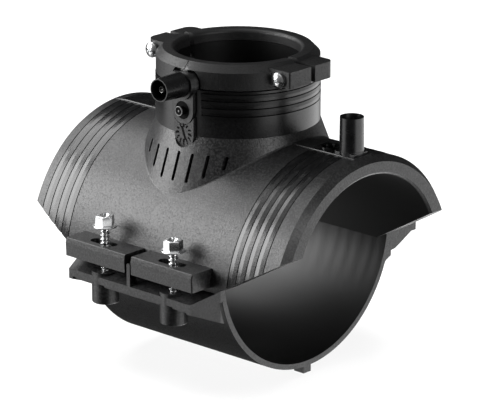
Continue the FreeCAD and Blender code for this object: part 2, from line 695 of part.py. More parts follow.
def ring_screw(x):
    """pan-head screw along Y with a cross recess, head towards -Y"""
    y0 = -LUG_Y1

    def at(r, y):
        return V(x + r, y, RS_Z)

    dome = Part.Arc(at(0, y0 - 3.7), at(2.45, y0 - 3.231),
                    at(4.75, y0 - 1.7)).toShape()
    rest = Part.makePolygon([at(4.75, y0 - 1.7), at(4.75, y0), at(RS_R, y0),
                             at(RS_R, RS_TIP), at(0, RS_TIP),
                             at(0, y0 - 3.7)])
    s = Part.Face(Part.Wire([dome, rest])).revolve(
        V(x, 0, RS_Z), V(0, 1, 0), 360)
    c1 = Part.makeBox(5.0, 3.0, 0.95, V(-2.5, -1.5, -0.475))
    c2 = Part.makeBox(0.95, 3.0, 5.0, V(-0.475, -1.5, -2.5))
    c = c1.fuse(c2).removeSplitter()
    c.rotate(V(0, 0, 0), V(0, 1, 0), 25)
    c.translate(V(x, y0 - 3.5, RS_Z))
    return s.cut(c)


def square_nut(x):
    s = box(x - NUT_S / 2.0, NUT_Y, RS_Z - NUT_S / 2.0,
            x + NUT_S / 2.0, NUT_Y + NUT_T, RS_Z + NUT_S / 2.0)
    return s.cut(cyl(RS_R + 0.02, V(x, 0, RS_Z), V(x, 40, RS_Z)))


# ------------------------------------------------------- terminals, indicators
def shroud(p, d, length, base, tip):
    """insulating sleeve from its seat p along d, with a stem behind the seat;
    its wall thins towards the mouth"""
    q = p + d * length
    s = cone(base, tip, p, q)
    s = s.fuse(cyl(4.55, p - d * 7.0, p + d * 1.0))
    s = s.cut(cyl(5.35, p + d * FLOOR, q + d * 1.0))
    s = s.cut(cone(5.35, 5.35 + (tip - 0.6 - 5.35) * 1.1, q - d * 8.0,
                   q + d * 0.8))
    s = s.cut(cyl(R_STEM + 0.02, p - d * 9.0, q + d * 1.0))
    return s


def contact_pin(p, d, back, front):
    """pin with a thinner stem, its shoulder on the floor of the sleeve"""
    f = p + d * FLOOR
    b = p + d * (front - 0.8)
    return cyl(R_PIN, f, b).fuse([cone(R_PIN, 1.4, b, p + d * front),
                                  cyl(R_STEM, p - d * back, f)])


def indicator(p, d, deep, out):
    a = p - d * deep
    b = p + d * out
    return cyl(1.2, a, b)


# ------------------------------------------------------------------ assembly
def main():
    os.makedirs("parts", exist_ok=True)
    out = {}
    socket_coil, saddle_coil, crimp = wires()
    body = saddle_body()

    pin1_p = V(XC, -52.6, Z_TERM)
    pin2_p = V(X_TERM2, 0, 76.4)
    dn = V(0, -1, 0)
    up = V(0, 0, 1)
    pin1 = contact_pin(pin1_p, dn, 11.1, -Y_TIP - 52.6 - 2.0)
    pin2 = contact_pin(pin2_p, up, 9.9, Z_TIP2 - 76.4 - 2.7)

    out["socket_heating_coil"] = socket_coil.cut([crimp, pin1])
    out["saddle_heating_coil"] = saddle_coil.cut([crimp, pin2])
    out["saddle_body"] = body.cut([socket_coil, saddle_coil, crimp])
    out["coil_crimp"] = crimp

    out["lower_clamp"] = lower_clamp()
    f, r = ring_halves()
    out["ring_half_front"] = f
    out["ring_half_rear"] = r

    for key, sx, sy in (("fl", -1, -1), ("fr", 1, -1), ("rl", -1, 1),
                        ("rr", 1, 1)):
        out["clamp_screw_" + key] = clamp_screw(sx * HOLE_X + SCREW_DX,
                                                sy * HOLE_Y, HEAD_Z[key])
    out["ring_screw_right"] = ring_screw(RS_XR)
    out["ring_screw_left"] = ring_screw(-RS_XL)
    out["ring_nut_right"] = square_nut(RS_XR)
    out["ring_nut_left"] = square_nut(-RS_XL)

    out["terminal_shroud_socket"] = shroud(pin1_p, dn, -Y_TIP - 52.6, 7.7,
                                           R_TERM)
    out["terminal_shroud_crown"] = shroud(pin2_p, up, Z_TIP2 - 76.4, 7.3,
                                          R_TERM2)
    out["contact_pin_socket"] = pin1
    out["contact_pin_crown"] = pin2
    out["fusion_indicator_socket"] = indicator(V(XC, -50.6, Z_IND), dn, 6.9,
                                               1.6)
    out["fusion_indicator_crown"] = indicator(V(X_IND2, 0, 75.0), up, 6.2,
                                              0.5)

    for name, s in out.items():
        if len(s.Solids) != 1:
            print("WARNING", name, "has", len(s.Solids), "solids",
                  [round(q.Volume, 2) for q in s.Solids][:8])
        t = s.removeSplitter()
        if t.isValid() and len(t.Solids) == 1:
            s = t
        sol = s.Solids[0] if len(s.Solids) == 1 else s
        print(name, "volume", round(sol.Volume, 1), "valid", sol.isValid(),
              "faces", len(sol.Faces))
        sol.exportStep("parts/" + name + ".step")


main()
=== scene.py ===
import bpy
import math
from mathutils import Matrix, Vector


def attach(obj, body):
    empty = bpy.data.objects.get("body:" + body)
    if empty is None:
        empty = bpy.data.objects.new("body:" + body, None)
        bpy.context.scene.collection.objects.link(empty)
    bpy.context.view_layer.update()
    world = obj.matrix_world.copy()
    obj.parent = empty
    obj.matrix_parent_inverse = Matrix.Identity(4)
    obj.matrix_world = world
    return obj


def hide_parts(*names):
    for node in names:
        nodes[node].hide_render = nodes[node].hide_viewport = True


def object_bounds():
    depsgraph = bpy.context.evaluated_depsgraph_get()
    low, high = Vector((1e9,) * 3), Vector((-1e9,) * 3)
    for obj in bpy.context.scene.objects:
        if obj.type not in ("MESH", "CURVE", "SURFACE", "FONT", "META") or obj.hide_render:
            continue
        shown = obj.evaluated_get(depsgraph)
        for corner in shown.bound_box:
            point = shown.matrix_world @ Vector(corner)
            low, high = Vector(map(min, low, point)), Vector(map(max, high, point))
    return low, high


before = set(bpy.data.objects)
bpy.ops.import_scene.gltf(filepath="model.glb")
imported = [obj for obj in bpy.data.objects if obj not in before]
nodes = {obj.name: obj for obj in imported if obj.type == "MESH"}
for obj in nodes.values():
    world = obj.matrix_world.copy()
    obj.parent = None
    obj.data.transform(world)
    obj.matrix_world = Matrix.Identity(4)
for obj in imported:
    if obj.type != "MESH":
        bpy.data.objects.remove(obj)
cad_box = [[float(c) for c in p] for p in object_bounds()]
scene = bpy.context.scene


# ------------------------------------------------------------ node material kit
class Mat:
    """a small helper round one procedural material"""

    def __init__(self, name):
        self.m = bpy.data.materials.new(name)
        self.m.use_nodes = True
        self.t = self.m.node_tree
        self.t.nodes.clear()
        self.out = self.t.nodes.new("ShaderNodeOutputMaterial")
        self.b = self.t.nodes.new("ShaderNodeBsdfPrincipled")
        self.t.links.new(self.b.outputs[0], self.out.inputs[0])
        self.tc = self.t.nodes.new("ShaderNodeTexCoord")
        self.co = self.tc.outputs["Object"]
        self._xyz = None

    def link(self, a, b):
        self.t.links.new(a, b)

    def put(self, sock, value):
        if hasattr(value, "node"):
            self.link(value, sock)
        else:
            sock.default_value = value

    def math(self, op, a, b=0.0, c=None, clamp=False):
        n = self.t.nodes.new("ShaderNodeMath")
        n.operation = op
        n.use_clamp = clamp
        self.put(n.inputs[0], a)
        self.put(n.inputs[1], b)
        if c is not None:
            self.put(n.inputs[2], c)
        return n.outputs[0]

    def xyz(self):
        if self._xyz is None:
            n = self.t.nodes.new("ShaderNodeSeparateXYZ")
            self.link(self.co, n.inputs[0])
            self._xyz = n.outputs[0], n.outputs[1], n.outputs[2]
        return self._xyz

    def length(self, a, b):
        return self.math("SQRT", self.math("ADD", self.math("MULTIPLY", a, a),
                                           self.math("MULTIPLY", b, b)))

    def step(self, v, lo, hi):
        """0 below lo, 1 above hi, smooth between"""
        n = self.t.nodes.new("ShaderNodeMapRange")
        n.interpolation_type = "SMOOTHSTEP"
        n.inputs["From Min"].default_value = lo
        n.inputs["From Max"].default_value = hi
        n.inputs["To Min"].default_value = 0.0
        n.inputs["To Max"].default_value = 1.0
        self.put(n.inputs["Value"], v)
        return n.outputs[0]

    def noise(self, scale, detail=2.0, rough=0.5, dist=0.0, co=None):
        n = self.t.nodes.new("ShaderNodeTexNoise")
        n.inputs["Scale"].default_value = scale
        n.inputs["Detail"].default_value = detail
        n.inputs["Roughness"].default_value = rough
        n.inputs["Distortion"].default_value = dist
        self.link(co or self.co, n.inputs["Vector"])
        return n.outputs["Fac"]

    def stretch(self, sx, sy, sz):
        n = self.t.nodes.new("ShaderNodeMapping")
        n.inputs["Scale"].default_value = (sx, sy, sz)
        self.link(self.co, n.inputs["Vector"])
        return n.outputs[0]

    def mixf(self, f, a, b):
        n = self.t.nodes.new("ShaderNodeMix")
        n.data_type = "FLOAT"
        self.put(n.inputs["Factor"], f)
        self.put(n.inputs[2], a)
        self.put(n.inputs[3], b)
        return n.outputs[0]

    def mixc(self, f, a, b):
        n = self.t.nodes.new("ShaderNodeMix")
        n.data_type = "RGBA"
        self.put(n.inputs["Factor"], f)
        self.put(n.inputs[6], a)
        self.put(n.inputs[7], b)
        return n.outputs[2]

    def bump(self, height, strength, distance, normal=None):
        n = self.t.nodes.new("ShaderNodeBump")
        self.put(n.inputs["Strength"], strength)
        n.inputs["Distance"].default_value = distance
        self.link(height, n.inputs["Height"])
        if normal is not None:
            self.link(normal, n.inputs["Normal"])
        return n.outputs[0]

    def rgb(self, v):
        return (v[0], v[1], v[2], 1.0)


def set_mat(obj, mat):
    obj.data.materials.clear()
    obj.data.materials.append(mat.m if isinstance(mat, Mat) else mat)


# --------------------------------------------------------------- the materials
def rub_highlight_patch(m, col):
    """pale patch painted on the edge above the socket terminal: a painted highlight where
    the rubbed edge catches the light
    """
    x, y, z = m.xyz()
    dx = m.math("SUBTRACT", x, 0.0035)
    dy = m.math("MULTIPLY", m.math("ADD", y, 0.0518), 0.45)
    dz = m.math("SUBTRACT", z, 0.1180)
    d = m.length(m.length(dx, dy), dz)
    f = m.math("SUBTRACT", 1.0, m.step(d, 0.0010, 0.0046))
    f = m.math("MULTIPLY", f, m.step(m.noise(650.0, 2.0, 0.6), 0.38, 0.60))
    return m.mixc(f, col, m.rgb((0.24, 0.24, 0.24)))


def moulding(name, zones):
    """black moulded polyethylene: eroded grain outside, smoother working faces, with
    painted shade as a darker colour in the hollow ones
    """
    m = Mat(name)
    x, y, z = m.xyz()
    rx = m.length(y, z)
    rz = m.length(x, y)

    # grain of the mould: cells of about one millimetre and a finer one
    g1 = m.noise(820.0, 3.0, 0.62)
    g2 = m.noise(1700.0, 2.0, 0.6)
    g3 = m.noise(90.0, 3.0, 0.5)
    grain = m.math("ADD", m.math("MULTIPLY", g1, 0.6),
                   m.math("MULTIPLY", g2, 0.4))

    smooth_and_shade = None
    gloss = None
    if zones == "saddle":
        # the ribbed ends are polished in the mould
        ax = m.math("ABSOLUTE", x)
        gloss = m.math("MULTIPLY", m.step(ax, 0.0646, 0.0650),
                       m.math("SUBTRACT", 1.0, m.step(ax, 0.0904, 0.0912)))
        gloss = m.math("MULTIPLY", gloss, m.step(rx, 0.0640, 0.0650))
        gloss = m.math("MULTIPLY", gloss, m.step(rz, 0.0560, 0.0565))
        # the cylindrical part of the outlet is smoother than its skirt
        neck = m.math("MULTIPLY", m.step(z, 0.0788, 0.0790),
                      m.math("SUBTRACT", 1.0, m.step(rz, 0.0500, 0.0503)))
        neck = m.math("MULTIPLY", neck, m.step(rz, 0.0384, 0.0400))
        bore = m.math("SUBTRACT", 1.0, m.step(rx, 0.0626, 0.0629))
        mouth = m.math("SUBTRACT", 1.0, m.step(rz, 0.0380, 0.0384))
        top = m.step(z, 0.0885, 0.0900)
        smooth_and_shade = m.math("MAXIMUM", bore, mouth)
        ribs = m.math("MULTIPLY", top, 0.55)
        smooth_and_shade = m.math("MAXIMUM", smooth_and_shade, ribs)
    elif zones == "clamp":
        zl = m.math("SUBTRACT", z, 0.0102)
        rl = m.length(y, zl)
        smooth_and_shade = m.math("SUBTRACT", 1.0, m.step(rl, 0.0731, 0.0736))
    else:
        smooth_and_shade = m.math("MULTIPLY", g3, 0.0)

    # colour: nearly black, very slightly uneven
    dark = m.rgb((0.0045, 0.0045, 0.0048))
    lite = m.rgb((0.0115, 0.0115, 0.0120))
    spot = m.math("ADD", m.math("MULTIPLY", grain, 0.65),
                  m.math("MULTIPLY", g3, 0.35))
    spot = m.step(spot, 0.36, 0.64)
    col = m.mixc(spot, dark, lite)
    speck = m.step(g1, 0.45, 0.60)
    if gloss is not None:
        speck = m.math("MULTIPLY", speck, m.math(
            "SUBTRACT", 1.0, m.math("MULTIPLY", m.math("MAXIMUM", neck, gloss),
                                    0.8)))
    col = m.mixc(m.math("MULTIPLY", speck, 0.55), col,
                 m.rgb((0.060, 0.060, 0.061)))
    # darker colour over the smooth zones: painted shade inside the pipe bore, the socket
    # mouth and the clamp's inner wall; the upper outlet, at half weight, is simply darker
    col = m.mixc(smooth_and_shade, col, m.rgb((0.0016, 0.0016, 0.0017)))
    # painted highlight patch on the edge above the socket terminal
    if zones == "saddle":
        col = rub_highlight_patch(m, col)
    m.put(m.b.inputs["Base Color"], col)

    r = m.math("ADD", 0.365, m.math("MULTIPLY", m.math("SUBTRACT", grain, 0.5),
                                   0.40))
    r = m.math("ADD", r, m.math("MULTIPLY", m.math("SUBTRACT", g3, 0.5),
                                0.10))
    # small matt pits left by the spark erosion
    pits = m.step(m.noise(1050.0, 2.0, 0.6), 0.53, 0.60)
    r = m.mixf(m.math("MULTIPLY", pits, 0.50), r, 0.68)
    r = m.mixf(smooth_and_shade, r, 0.40 if zones == "clamp" else 0.36)
    if gloss is not None:
        r = m.mixf(gloss, r, m.math("ADD", 0.235, m.math(
            "MULTIPLY", m.math("SUBTRACT", grain, 0.5), 0.26)))
        r = m.mixf(neck, r, m.math("ADD", 0.29, m.math(
            "MULTIPLY", m.math("SUBTRACT", grain, 0.5), 0.12)))
        r = m.mixf(bore, r, 0.72)
        # worn matt: the last stretch of the crown strip's edge
        ay = m.math("ABSOLUTE", y)
        worn = m.math("MULTIPLY", m.step(x, 0.0888, 0.0902), m.math(
            "MULTIPLY", m.step(ay, 0.0072, 0.0076), m.math(
                "SUBTRACT", 1.0, m.step(ay, 0.0104, 0.0108))))
        worn = m.math("MULTIPLY", worn, m.step(z, 0.0735, 0.0740))
        r = m.mixf(worn, r, 0.85)
    m.put(m.b.inputs["Roughness"], r)
    m.b.inputs["Specular IOR Level"].default_value = 0.5
    m.b.inputs["IOR"].default_value = 1.5

    amount = m.mixf(smooth_and_shade, 0.60, 0.05)
    if gloss is not None:
        amount = m.mixf(gloss, amount, 0.12)
        amount = m.mixf(neck, amount, 0.13)
    n = m.bump(grain, amount, 0.00030)
    n = m.bump(g3, 0.05, 0.0010, n)
    if zones == "clamp":
        # shallow sink marks along the inner wall near the rear flange
        w = m.noise(26.0, 2.0, 0.5, co=m.stretch(1.0, 0.10, 0.10))
        w = m.math("ADD", m.math("MULTIPLY", x, 2 * math.pi / 0.0098),
                   m.math("MULTIPLY", w, 9.0))
        w = m.math("SINE", w)
        w = m.math("MULTIPLY", w, m.math("MULTIPLY", smooth_and_shade,
                                         m.step(z, -0.040, -0.012)))
        n = m.bump(w, 0.17, 0.00018, n)
    m.link(n, m.b.inputs["Normal"])
    return m


def satin_black(name, rough, base, grain=0.2, scale=900.0, highlight_patch_and_pits=False):
    m = Mat(name)
    g = m.noise(scale, 2.0, 0.55)
    h = m.noise(120.0, 3.0, 0.5)
    f = m.step(m.math("ADD", m.math("MULTIPLY", g, 0.6),
                      m.math("MULTIPLY", h, 0.4)), 0.36, 0.64)
    a = m.rgb([c * 0.75 for c in base])
    b = m.rgb([c * 1.35 for c in base])
    col = m.mixc(f, a, b)
    # painted highlight patch on the rubbed edge above the socket terminal
    if highlight_patch_and_pits:
        col = rub_highlight_patch(m, col)
    m.put(m.b.inputs["Base Color"], col)
    r = m.math("ADD", rough, m.math("MULTIPLY",
                                    m.math("SUBTRACT", h, 0.5), 0.14))
    if highlight_patch_and_pits:
        pits = m.step(m.noise(1050.0, 2.0, 0.6), 0.53, 0.60)
        r = m.mixf(m.math("MULTIPLY", pits, 0.75), r, 0.72)
    m.put(m.b.inputs["Roughness"], r)
    m.b.inputs["Specular IOR Level"].default_value = 0.5
    n = m.bump(g, grain, 0.00020)
    n = m.bump(h, 0.06, 0.0008, n)
    m.link(n, m.b.inputs["Normal"])
    return m


def zinc(name):
    m = Mat(name)
    g = m.noise(420.0, 4.0, 0.6)
    h = m.noise(2400.0, 2.0, 0.6, co=m.stretch(1.0, 1.0, 0.25))
    f = m.step(g, 0.35, 0.68)
    m.put(m.b.inputs["Base Color"],
          m.mixc(f, m.rgb((0.70, 0.71, 0.72)), m.rgb((0.90, 0.90, 0.90))))
    m.b.inputs["Metallic"].default_value = 1.0
    r = m.math("ADD", 0.17, m.math("MULTIPLY", g, 0.10))
    m.put(m.b.inputs["Roughness"], r)
    n = m.bump(h, 0.10, 0.00004)
    n = m.bump(g, 0.05, 0.00006, n)
    m.link(n, m.b.inputs["Normal"])
    return m


def bare_metal(name, lo, hi, rough):
    m = Mat(name)
    g = m.noise(800.0, 3.0, 0.55)
    m.put(m.b.inputs["Base Color"],
          m.mixc(m.step(g, 0.35, 0.65), m.rgb(lo), m.rgb(hi)))
    m.b.inputs["Metallic"].default_value = 1.0
    m.put(m.b.inputs["Roughness"],
          m.math("ADD", rough, m.math("MULTIPLY", g, 0.12)))
    m.link(m.bump(g, 0.08, 0.00008), m.b.inputs["Normal"])
    return m


def plain_plastic(name, lo, hi, rough):
    m = Mat(name)
    g = m.noise(700.0, 2.0, 0.5)
    m.put(m.b.inputs["Base Color"],
          m.mixc(m.step(g, 0.35, 0.65), m.rgb(lo), m.rgb(hi)))
    m.put(m.b.inputs["Roughness"],
          m.math("ADD", rough, m.math("MULTIPLY", g, 0.12)))
    m.link(m.bump(g, 0.10, 0.00010), m.b.inputs["Normal"])
    return m


mat_saddle = moulding("pe_eroded_saddle", "saddle")
mat_clamp = moulding("pe_eroded_clamp", "clamp")
# the ring gets the painted highlight patch above the socket terminal and the matt pits
mat_ring = satin_black("ring_satin_black", 0.47, (0.0065, 0.0065, 0.0068), 0.45,
                       highlight_patch_and_pits=True)
mat_shroud = satin_black("shroud_semi_gloss", 0.27, (0.010, 0.010, 0.0105),
                         0.06, 500.0)
mat_zinc = zinc("bright_zinc")
mat_pin = bare_metal("tinned_pin", (0.15, 0.15, 0.145), (0.24, 0.235, 0.23), 0.26)
# near black for the dial print, also used as a painted shade lining in the indicator
# recess
mat_print_and_shade = Mat("print_and_recess_shade_black")
mat_print_and_shade.b.inputs["Specular IOR Level"].default_value = 0.04
mat_print_and_shade.put(mat_print_and_shade.b.inputs["Base Color"],
             mat_print_and_shade.mixc(mat_print_and_shade.noise(900.0), mat_print_and_shade.rgb((0.002, 0.002, 0.002)),
                           mat_print_and_shade.rgb((0.005, 0.005, 0.005))))
mat_print_and_shade.b.inputs["Roughness"].default_value = 0.6
mat_wire = bare_metal("heating_wire_copper", (0.62, 0.30, 0.16),
                      (0.80, 0.44, 0.26), 0.24)
mat_crimp = bare_metal("crimp_tinned", (0.50, 0.49, 0.46), (0.64, 0.62, 0.58),
                       0.26)
mat_ind = plain_plastic("indicator_grey", (0.20, 0.20, 0.20),
                        (0.34, 0.34, 0.34), 0.35)

for name, obj in nodes.items():
    if name == "saddle_body":
        set_mat(obj, mat_saddle)
    elif name == "lower_clamp":
        set_mat(obj, mat_clamp)
    elif name.startswith("ring_half"):
        set_mat(obj, mat_ring)
    elif name.startswith("terminal_shroud"):
        set_mat(obj, mat_shroud)
    elif name.startswith("contact_pin"):
        set_mat(obj, mat_pin)
    elif name.startswith("fusion_indicator"):
        set_mat(obj, mat_ind)
    elif name.endswith("heating_coil"):
        set_mat(obj, mat_wire)
    elif name == "coil_crimp":
        set_mat(obj, mat_crimp)
    else:
        set_mat(obj, mat_zinc)


# ----------------------------------------------------------------- mesh pieces
def make_piece(name, verts, faces, mat, sharp=35.0):
    me = bpy.data.meshes.new(name)
    me.from_pydata([tuple(v) for v in verts], [], faces)
    me.validate()
    me.update()
    ob = bpy.data.objects.new(name, me)
    scene.collection.objects.link(ob)
    set_mat(ob, mat)
    me.shade_smooth()
    me.set_sharp_from_angle(angle=math.radians(sharp))
    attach(ob, "root")
    return ob


def loft(rings, close_start=True, close_end=True):
    """rings of equal length, closed round; the ends are closed by a fan"""
    verts, faces = [], []
    n = len(rings[0])
    for r in rings:
        verts += [Vector(p) for p in r]
    for i in range(len(rings) - 1):
        for k in range(n):
            a = i * n + k
            b = i * n + (k + 1) % n
            faces.append((a, b, b + n, a + n))
    if close_start:
        c = sum(rings[0], Vector((0, 0, 0))) / n
        verts.append(c)
        j = len(verts) - 1
        for k in range(n):
            faces.append((j, (k + 1) % n, k))
    if close_end:
        c = sum(rings[-1], Vector((0, 0, 0))) / n
        verts.append(c)
        j = len(verts) - 1
        o = (len(rings) - 1) * n
        for k in range(n):
            faces.append((j, o + k, o + (k + 1) % n))
    return verts, faces


def hex_radius(a, af, a0):
    """distance from the centre to the side of a hexagon in direction a"""
    b = (a - a0) % (math.pi / 3)
    return af / 2.0 / math.cos(b - math.pi / 6)


def screw_rings(zh, tip, a0, af=0.0100, pitch=0.0025):
    """hexagon flange screw along +Z with a full coarse thread, underside of the
    flange at zh; rings run from the top of the head to the tip"""
    n = 120
    ang = [a0 + 2 * math.pi * k / n for k in range(n)]
    rings = []
    zt = zh + 0.0070
    slot = math.radians(-47.0)

    def ring(rf, zf):
        row = []
        for a in ang:
            px, py, pz = rf(a) * math.cos(a), rf(a) * math.sin(a), zf(a)
            off = abs(py * math.cos(slot) - px * math.sin(slot))
            if pz > zh + 0.0050 and math.hypot(px, py) < 0.0046:
                depth = max(0.0, min(1.0, (0.00105 - off) / 0.0003))
                pz = min(pz, zt - 0.0013 * depth)
            row.append(Vector((px, py, pz)))
        rings.append(row)

    def const(v):
        return lambda a: v

    corner = af / math.sqrt(3)
    # dished top with a shallow central indent
    ring(const(0.0008), const(zt - 0.00085))
    ring(const(0.0019), const(zt - 0.00080))
    ring(const(0.0026), const(zt - 0.00035))
    ring(const(0.0030), const(zt - 0.00006))
    ring(const(0.0034), const(zt))
    ring(const(0.0040), const(zt))
    ring(const(0.0045), const(zt))

    def rim(a):
        r = hex_radius(a, af, a0)
        return zt - 0.0001 - max(0.0, r - 0.0049) * math.tan(math.radians(24))

    ring(const(0.0047), const(zt - 0.00004))
    ring(lambda a: hex_radius(a, af, a0) - 0.00022,
         lambda a: rim(a) + 0.00004)
    ring(lambda a: hex_radius(a, af, a0) - 0.00005,
         lambda a: rim(a) - 0.00014)
    ring(lambda a: hex_radius(a, af, a0), lambda a: rim(a) - 0.00034)
    ring(lambda a: hex_radius(a, af, a0), const(zh + 0.0036))
    ring(lambda a: hex_radius(a, af, a0), const(zh + 0.00155))
    ring(lambda a: hex_radius(a, af, a0) + 0.00014, const(zh + 0.00132))
    ring(const(corner + 0.00050), const(zh + 0.00122))
    ring(const(0.0068), const(zh + 0.00090))
    ring(const(0.0072), const(zh + 0.00078))
    ring(const(0.00736), const(zh + 0.00056))
    ring(const(0.00739), const(zh + 0.00028))
    ring(const(0.00730), const(zh + 0.00006))
    ring(const(0.00715), const(zh))
    ring(const(0.0036), const(zh))
    ring(const(0.0032), const(zh - 0.0003))

    # thread: sharp crests on a core, running out under the head and at the tip
    r_maj, r_min = 0.00305, 0.00215
    z0 = zh - 0.0006
    z1 = tip
    rows = int(round((z0 - z1) / (pitch / 10.0)))
    for i in range(rows + 1):
        z = z0 + (z1 - z0) * i / rows
        row = []
        for a in ang:
            u = ((z0 - z) / pitch + a / (2 * math.pi)) % 1.0
            d = abs(u - 0.5) * 2.0
            crest = max(0.0, 1.0 - d / 0.62)
            crest = min(1.0, crest * 1.12)
            run = min(1.0, (z0 - z) / 0.0022)
            r = r_min + (r_maj - r_min) * crest * run
            if run < 1.0:
                r = max(r, r_min + (0.0029 - r_min) * (1.0 - run))
            end = (z - z1)
            lim = 0.0014 + end * 0.62
            r = min(r, lim)
            row.append(Vector((r * math.cos(a), r * math.sin(a), z)))
        rings.append(row)
    return rings


HEADS = {"fl": (-0.027, -0.0866, 0.0241, 0.012),
         "fr": (0.029, -0.0866, 0.0213, 0.862),
         "rl": (-0.027, 0.0866, 0.0226, 0.62),
         "rr": (0.029, 0.0866, 0.0219, 0.90)}
for key, (px, py, zh, turn) in HEADS.items():
    rings = screw_rings(zh, -0.0175, turn)
    rings = [[p + Vector((px, py, 0)) for p in r] for r in rings]
    rings = [list(reversed(r)) for r in rings]
    v, f = loft(rings)
    o = make_piece("hex_flange_screw_" + key, v, f, mat_zinc, 28.0)
    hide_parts("clamp_screw_" + key)


# contact pins: hollow tip with a centre point, shoulder and stem
def pin_profile(front, floor_, back):
    """(radius, height) pairs along the pin from its tip to its stem"""
    return [(0.00035, front - 0.0007), (0.00055, front - 0.0009),
            (0.00062, front - 0.0019), (0.00120, front - 0.0020),
            (0.00135, front - 0.0005), (0.00150, front - 0.0001),
            (0.00168, front), (0.00188, front - 0.00022),
            (0.00199, front - 0.0007), (0.00200, front - 0.0012),
            (0.00200, floor_ + 0.0004), (0.00190, floor_),
            (0.00160, floor_ - 0.0001), (0.00160, back + 0.0006),
            (0.00120, back)]


PINS = {"contact_pin_socket": ((0.0024, 0.0, 0.1096), (0, -1, 0), 0.0684,
                               0.0566, 0.0415),
        "contact_pin_crown": ((0.0901, 0.0, 0.0), (0, 0, 1), 0.0936, 0.0804,
                              0.0665)}
for key, (foot, d, front, floor_, back_) in PINS.items():
    d = Vector(d)
    e1 = Vector((1, 0, 0))
    e2 = d.cross(e1)
    rings = []
    for r, h in pin_profile(front, floor_, back_):
        rings.append([Vector(foot) + d * h + e1 * (r * math.cos(a)) +
                      e2 * (r * math.sin(a))
                      for a in [2 * math.pi * k / 40 for k in range(40)]])
    v, f = loft([list(reversed(r)) for r in rings])
    o = make_piece("turned_" + key, v, f, mat_pin, 40.0)
    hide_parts(key)


# the socket indicator: rolled rim round its tube and the tip in the middle
def turned(name, foot, d, profile, mat, n=40, caps=True):
    d = Vector(d)
    e1 = Vector((1, 0, 0))
    e2 = d.cross(e1)
    rings = [[Vector(foot) + d * h + e1 * (r * math.cos(a)) +
              e2 * (r * math.sin(a))
              for a in [2 * math.pi * k / n for k in range(n)]]
             for r, h in profile]
    v, f = loft([list(reversed(r)) for r in rings], caps, caps)
    return make_piece(name, v, f, mat, 40.0)


IND_FOOT = (0.0024, 0.0, 0.0936)
o = turned("indicator_tip_socket", IND_FOOT, (0, -1, 0),
           [(0.00025, 0.05405), (0.00050, 0.05398), (0.00062, 0.05380),
            (0.00062, 0.05300), (0.00110, 0.05290), (0.00110, 0.04900),
            (0.00080, 0.04880)], mat_ind)
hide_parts("fusion_indicator_socket")
turned("indicator_rim_socket", IND_FOOT, (0, -1, 0),
       [(0.00232, 0.05340), (0.00235, 0.05366), (0.00238, 0.05388),
        (0.00252, 0.05405), (0.00275, 0.05408), (0.00292, 0.05395),
        (0.00298, 0.05372), (0.00296, 0.05330), (0.00232, 0.05330),
        (0.00232, 0.05340)], mat_ind, 40, False)
# black lining over the recess floor and tube side round the indicator: a painted shade
# sheet that makes the shallow recess look deep
turned("indicator_recess_shade_socket", IND_FOOT, (0, -1, 0),
       [(0.00105, 0.05363), (0.00245, 0.05370), (0.00290, 0.05370),
        (0.00304, 0.05355), (0.00304, 0.05290), (0.00285, 0.05262),
        (0.00246, 0.05255), (0.00246, 0.04752), (0.00452, 0.04748),
        (0.00535, 0.05030)], mat_print_and_shade)


# dial below it: the marks round the disc and the bold bar across it
def bar(p0, p1, width, y0, y1):
    """flat bar in the XZ plane between two points, from y0 to y1"""
    a, b = Vector((p0[0], 0, p0[1])), Vector((p1[0], 0, p1[1]))
    t = (b - a).normalized()
    s_ = Vector((t.z, 0, -t.x)) * width / 2.0
    v = []
    for y in (y0, y1):
        for q in (a - s_, b - s_, b + s_, a + s_):
            v.append(Vector((q.x, y, q.z)))
    f = [(3, 2, 1, 0), (4, 5, 6, 7), (0, 1, 5, 4), (1, 2, 6, 5), (2, 3, 7, 6),
         (3, 0, 4, 7)]
    return v, f


dv, df = [], []
DX, DZ = 0.0029, 0.0796
marks = []
for k in range(12):
    a = math.radians(90.0 - 30.0 * k)
    r0, r1 = (0.0040, 0.0057) if k % 3 else (0.0036, 0.0058)
    marks.append(((DX + r0 * math.cos(a), DZ + r0 * math.sin(a)),
                  (DX + r1 * math.cos(a), DZ + r1 * math.sin(a)),
                  0.00095 if k % 3 else 0.0013))
marks.append(((0.0014, 0.0836), (0.0045, 0.0757), 0.00155))
for p0, p1, w_ in marks:
    v, f = bar(p0, p1, w_, -0.05012, -0.05030)
    base = len(dv)
    dv += v
    df += [tuple(base + i for i in q) for q in f]
make_piece("dial_marks", dv, df, mat_print_and_shade, 20.0)


# ------------------------------------------------------------ floor and lights
lo, hi = cad_box
floor_z = lo[2] - 0.0002
me = bpy.data.meshes.new("floor")
S = 14.0
me.from_pydata([(-S, -S, floor_z), (S, -S, floor_z), (S, S, floor_z),
                (-S, S, floor_z)], [], [(0, 1, 2, 3)])
floor = bpy.data.objects.new("floor", me)
scene.collection.objects.link(floor)
fm = Mat("floor_pale")
fn = fm.noise(3.0, 2.0, 0.5)
fm.put(fm.b.inputs["Base Color"],
       fm.mixc(fn, fm.rgb((0.83, 0.83, 0.83)), fm.rgb((0.86, 0.86, 0.86))))
fm.b.inputs["Roughness"].default_value = 0.9
fm.b.inputs["Specular IOR Level"].default_value = 0.1
set_mat(floor, fm)

